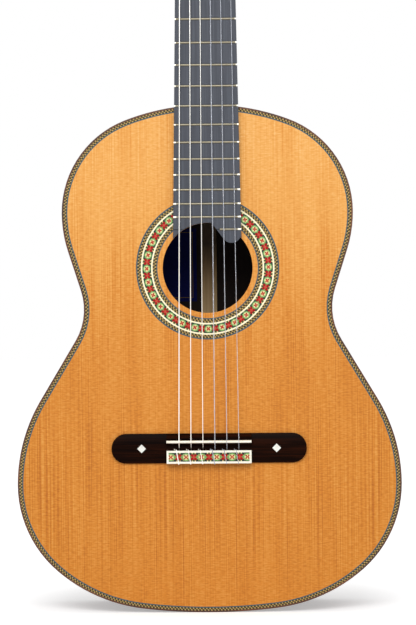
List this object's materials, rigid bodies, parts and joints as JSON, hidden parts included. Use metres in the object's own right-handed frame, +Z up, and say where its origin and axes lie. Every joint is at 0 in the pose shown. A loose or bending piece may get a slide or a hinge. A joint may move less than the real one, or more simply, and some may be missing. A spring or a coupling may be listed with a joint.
{
  "type": "classical guitar",
  "caption": "Full-size classical guitar: waisted hollow body, fan-braced cedar top with round sound hole and mosaic rosette, slotted head with geared tuners.",
  "frame": {"origin": "on the centreline at the nut's fretboard side, in the plane of the soundboard's face, where a wall hanger holds the neck", "axes": "+Z up along the neck towards the head, +Y towards the back, -Y is the front with the strings, +X is the treble side"},
  "size_m": [0.3746, 0.1158, 0.9997],
  "materials": {
    "cedar": "satin",
    "rosette_wood": "satin",
    "spruce": "matte",
    "rosewood": "gloss",
    "maple": "gloss",
    "mahogany": "gloss",
    "ebony": "satin",
    "purfling": "gloss",
    "bridge_rosewood": "satin",
    "bone": "satin",
    "pearl": "gloss",
    "label_paper": "matte",
    "nickel_silver": "polished",
    "tuner_brass": "polished",
    "steel": "polished",
    "roller_plastic": "gloss",
    "nylon": "gloss",
    "wound_silver": "satin"
  },
  "bodies": {
    "guitar": {"soundboard": "cedar", "rosette": "rosette_wood", "soundhole_ring": "spruce", "top_braces": "spruce", "back_panels": "rosewood", "back_inlay_strip": "maple", "back_braces": "spruce", "back_seam_strip": "spruce", "side_bass": "rosewood", "side_treble": "rosewood", "linings": "spruce", "neck": "mahogany", "headstock": "mahogany", "head_veneer": "rosewood", "heel_cap": "rosewood", "tail_block": "spruce", "bindings": "rosewood", "top_purfling": "purfling", "end_graft": "maple", "fretboard": "ebony", "frets": "nickel_silver", "nut": "bone", "saddle": "bone", "bridge": "bridge_rosewood", "tie_block_cap": "bone", "wing_inlays": "pearl", "label": "label_paper", "string_1": "nylon", "string_2": "nylon", "string_3": "nylon", "string_4": "wound_silver", "string_5": "wound_silver", "string_6": "wound_silver", "tuner_plate_bass": "tuner_brass", "tuner_plate_treble": "tuner_brass", "plate_screws": "tuner_brass"},
    "key_1": {"button_1": "pearl", "worm_1": "steel"},
    "post_1": {"gear_1": "tuner_brass", "roller_1": "roller_plastic"},
    "key_2": {"button_2": "pearl", "worm_2": "steel"},
    "post_2": {"gear_2": "tuner_brass", "roller_2": "roller_plastic"},
    "key_3": {"button_3": "pearl", "worm_3": "steel"},
    "post_3": {"gear_3": "tuner_brass", "roller_3": "roller_plastic"},
    "key_4": {"button_4": "pearl", "worm_4": "steel"},
    "post_4": {"gear_4": "tuner_brass", "roller_4": "roller_plastic"},
    "key_5": {"button_5": "pearl", "worm_5": "steel"},
    "post_5": {"gear_5": "tuner_brass", "roller_5": "roller_plastic"},
    "key_6": {"button_6": "pearl", "worm_6": "steel"},
    "post_6": {"gear_6": "tuner_brass", "roller_6": "roller_plastic"}
  },
  "joints": [
    {"name": "key_1_turn", "type": "hinge", "parent": "guitar", "child": "key_1", "pos_m": [0.0416, 0.02096, 0.05327], "axis": [0, 0.9659, -0.2588], "continuous": true},
    {"name": "roller_1_turn", "type": "hinge", "parent": "guitar", "child": "post_1", "pos_m": [0.02, 0.02327, 0.06192], "axis": [1, 0, 0], "continuous": true},
    {"name": "key_2_turn", "type": "hinge", "parent": "guitar", "child": "key_2", "pos_m": [0.0416, 0.03002, 0.08708], "axis": [0, 0.9659, -0.2588], "continuous": true},
    {"name": "roller_2_turn", "type": "hinge", "parent": "guitar", "child": "post_2", "pos_m": [0.02, 0.03233, 0.09572], "axis": [1, 0, 0], "continuous": true},
    {"name": "key_3_turn", "type": "hinge", "parent": "guitar", "child": "key_3", "pos_m": [0.0416, 0.03907, 0.12089], "axis": [0, 0.9659, -0.2588], "continuous": true},
    {"name": "roller_3_turn", "type": "hinge", "parent": "guitar", "child": "post_3", "pos_m": [0.02, 0.04139, 0.12953], "axis": [1, 0, 0], "continuous": true},
    {"name": "key_4_turn", "type": "hinge", "parent": "guitar", "child": "key_4", "pos_m": [-0.0416, 0.03907, 0.12089], "axis": [0, 0.9659, -0.2588], "continuous": true},
    {"name": "roller_4_turn", "type": "hinge", "parent": "guitar", "child": "post_4", "pos_m": [-0.02, 0.04139, 0.12953], "axis": [-1, 0, 0], "continuous": true},
    {"name": "key_5_turn", "type": "hinge", "parent": "guitar", "child": "key_5", "pos_m": [-0.0416, 0.03002, 0.08708], "axis": [0, 0.9659, -0.2588], "continuous": true},
    {"name": "roller_5_turn", "type": "hinge", "parent": "guitar", "child": "post_5", "pos_m": [-0.02, 0.03233, 0.09572], "axis": [-1, 0, 0], "continuous": true},
    {"name": "key_6_turn", "type": "hinge", "parent": "guitar", "child": "key_6", "pos_m": [-0.0416, 0.02096, 0.05327], "axis": [0, 0.9659, -0.2588], "continuous": true},
    {"name": "roller_6_turn", "type": "hinge", "parent": "guitar", "child": "post_6", "pos_m": [-0.02, 0.02327, 0.06192], "axis": [-1, 0, 0], "continuous": true}
  ],
  "couplings": [
    {"joint": "roller_1_turn", "follows": "key_1_turn", "ratio": 0.0625},
    {"joint": "roller_2_turn", "follows": "key_2_turn", "ratio": 0.0625},
    {"joint": "roller_3_turn", "follows": "key_3_turn", "ratio": 0.0625},
    {"joint": "roller_4_turn", "follows": "key_4_turn", "ratio": 0.0625},
    {"joint": "roller_5_turn", "follows": "key_5_turn", "ratio": 0.0625},
    {"joint": "roller_6_turn", "follows": "key_6_turn", "ratio": 0.0625}
  ]
}
